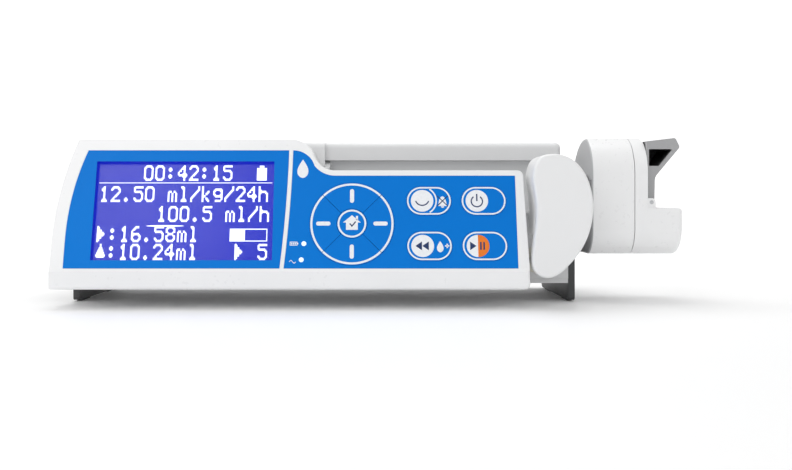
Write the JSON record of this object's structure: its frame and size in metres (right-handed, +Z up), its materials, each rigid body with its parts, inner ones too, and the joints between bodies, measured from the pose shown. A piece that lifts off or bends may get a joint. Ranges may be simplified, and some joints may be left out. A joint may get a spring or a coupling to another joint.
{
  "type": "syringe infusion pump",
  "caption": "Bench-top syringe infusion pump: tilted front panel with screen and keys, open syringe trough, swing-out syringe holder and a lead-screw pusher with clutch lever.",
  "frame": {"origin": "bottom centre of the whole pump's box with the pusher home, on the bench", "axes": "+X to the pump's right, along the pusher's travel; +Y to the back; +Z up"},
  "size_m": [0.3596, 0.14, 0.0974],
  "materials": {
    "case_white": "satin",
    "housing_grey": "satin",
    "trim_grey": "satin",
    "tray_grey": "satin",
    "holder_white": "satin",
    "overlay_blue": "satin print",
    "key_caps": "satin print",
    "window_clear": "clear",
    "screen": "lit screen",
    "lamp_clear": "frosted",
    "rubber_black": "matt",
    "steel": "ground",
    "cast_alloy": "cast",
    "brass": "machined",
    "bearing_plastic": "moulded",
    "black_plastic": "moulded",
    "board_green": "solder mask",
    "battery_wrap": "shrink sleeve"
  },
  "bodies": {
    "case": {"base_plate": "housing_grey", "battery_cells": "battery_wrap", "battery_door": "housing_grey", "case_screws": "steel", "clamp_inserts": "brass", "data_port": "black_plastic", "display_frame": "steel", "display_glass": "screen", "display_overlay": "overlay_blue", "display_window": "window_clear", "drive_frame": "cast_alloy", "front_cover": "case_white", "guide_rod": "steel", "holder_bush": "bearing_plastic", "keypad_board": "board_green", "keypad_overlay": "overlay_blue", "left_side_plate": "trim_grey", "main_board": "board_green", "mains_inlet": "black_plastic", "power_board": "board_green", "rear_housing": "housing_grey", "right_side_plate": "trim_grey", "rubber_feet": "rubber_black", "screw_bearings": "steel", "size_sensor": "black_plastic", "speaker": "black_plastic", "status_lamps": "lamp_clear", "stepper_motor": "black_plastic", "syringe_tray": "tray_grey", "tube_bush": "bearing_plastic", "tube_seal": "rubber_black"},
    "screw": {"lead_screw": "steel", "screw_gear": "brass"},
    "motor": {"motor_pinion": "steel"},
    "pusher": {"carriage": "bearing_plastic", "drive_tube": "steel", "pusher_shell": "case_white", "pusher_cover": "case_white", "head_frame": "cast_alloy", "force_plate": "trim_grey", "front_claw": "trim_grey", "lever_pin": "steel"},
    "lever": {"clutch_lever": "trim_grey"},
    "rod": {"clutch_rod": "steel"},
    "nut": {"half_nut": "brass"},
    "claw": {"rear_claw": "trim_grey"},
    "yoke": {"holder_yoke": "bearing_plastic"},
    "holder": {"holder_paddle": "holder_white", "holder_pad": "holder_white", "holder_shaft": "steel"},
    "key_up": {"key_up": "key_caps"},
    "key_left": {"key_left": "key_caps"},
    "key_down": {"key_down": "key_caps"},
    "key_right": {"key_right": "key_caps"},
    "key_ok": {"key_ok": "key_caps"},
    "key_menu": {"key_menu": "key_caps"},
    "key_power": {"key_power": "key_caps"},
    "key_bolus": {"key_bolus": "key_caps"},
    "key_start": {"key_start": "key_caps"}
  },
  "joints": [
    {"name": "screw_spin", "type": "hinge", "parent": "case", "child": "screw", "pos_m": [-0.0588, 0.03, 0.037], "axis": [1, 0, 0], "range_deg": [0, 20160]},
    {"name": "pusher_slide", "type": "slide", "parent": "case", "child": "pusher", "axis": [1, 0, 0], "range_m": [0, 0.112]},
    {"name": "motor_spin", "type": "hinge", "parent": "case", "child": "motor", "pos_m": [-0.0588, 0.0412, 0.0564], "axis": [1, 0, 0], "range_deg": [-50400, 0]},
    {"name": "clutch_lever", "type": "hinge", "parent": "pusher", "child": "lever", "pos_m": [0.1618, -0.016, 0.0592], "axis": [0, 1, 0], "range_deg": [0, 12], "stiffness_Nm_per_rad": 1, "springref_deg": -5.73},
    {"name": "clutch_rod_turn", "type": "hinge", "parent": "pusher", "child": "rod", "pos_m": [0.1202, 0.004, 0.039], "axis": [1, 0, 0], "range_deg": [0, 30]},
    {"name": "half_nut_lift", "type": "slide", "parent": "pusher", "child": "nut", "axis": [0, 0, 1], "range_m": [0, 0.0015]},
    {"name": "rear_claw_open", "type": "slide", "parent": "pusher", "child": "claw", "axis": [0, 1, 0], "range_m": [0, 0.007]},
    {"name": "holder_pull", "type": "slide", "parent": "case", "child": "yoke", "axis": [0, -1, 0], "range_m": [0, 0.028], "stiffness_N_per_m": 150, "springref_m": -0.02},
    {"name": "holder_turn", "type": "hinge", "parent": "yoke", "child": "holder", "pos_m": [0.0952, -0.03, 0.025], "axis": [0, 1, 0], "range_deg": [0, 80]},
    {"name": "key_up_press", "type": "slide", "parent": "case", "child": "key_up", "axis": [0, 0.9659, -0.2588], "range_m": [0, 0.0008], "stiffness_N_per_m": 800, "springref_m": -0.001},
    {"name": "key_left_press", "type": "slide", "parent": "case", "child": "key_left", "axis": [0, 0.9659, -0.2588], "range_m": [0, 0.0008], "stiffness_N_per_m": 800, "springref_m": -0.001},
    {"name": "key_down_press", "type": "slide", "parent": "case", "child": "key_down", "axis": [0, 0.9659, -0.2588], "range_m": [0, 0.0008], "stiffness_N_per_m": 800, "springref_m": -0.001},
    {"name": "key_right_press", "type": "slide", "parent": "case", "child": "key_right", "axis": [0, 0.9659, -0.2588], "range_m": [0, 0.0008], "stiffness_N_per_m": 800, "springref_m": -0.001},
    {"name": "key_ok_press", "type": "slide", "parent": "case", "child": "key_ok", "axis": [0, 0.9659, -0.2588], "range_m": [0, 0.0008], "stiffness_N_per_m": 800, "springref_m": -0.001},
    {"name": "key_menu_press", "type": "slide", "parent": "case", "child": "key_menu", "axis": [0, 0.9659, -0.2588], "range_m": [0, 0.0008], "stiffness_N_per_m": 800, "springref_m": -0.001},
    {"name": "key_power_press", "type": "slide", "parent": "case", "child": "key_power", "axis": [0, 0.9659, -0.2588], "range_m": [0, 0.0008], "stiffness_N_per_m": 800, "springref_m": -0.001},
    {"name": "key_bolus_press", "type": "slide", "parent": "case", "child": "key_bolus", "axis": [0, 0.9659, -0.2588], "range_m": [0, 0.0008], "stiffness_N_per_m": 800, "springref_m": -0.001},
    {"name": "key_start_press", "type": "slide", "parent": "case", "child": "key_start", "axis": [0, 0.9659, -0.2588], "range_m": [0, 0.0008], "stiffness_N_per_m": 800, "springref_m": -0.001}
  ],
  "couplings": [
    {"joint": "screw_spin", "follows": "pusher_slide", "rad_per_m": 3141.6},
    {"joint": "motor_spin", "follows": "pusher_slide", "rad_per_m": -7854},
    {"joint": "clutch_lever", "follows": "half_nut_lift", "rad_per_m": 139.6},
    {"joint": "clutch_rod_turn", "follows": "half_nut_lift", "rad_per_m": 349},
    {"joint": "rear_claw_open", "follows": "half_nut_lift", "ratio": 4.666}
  ]
}
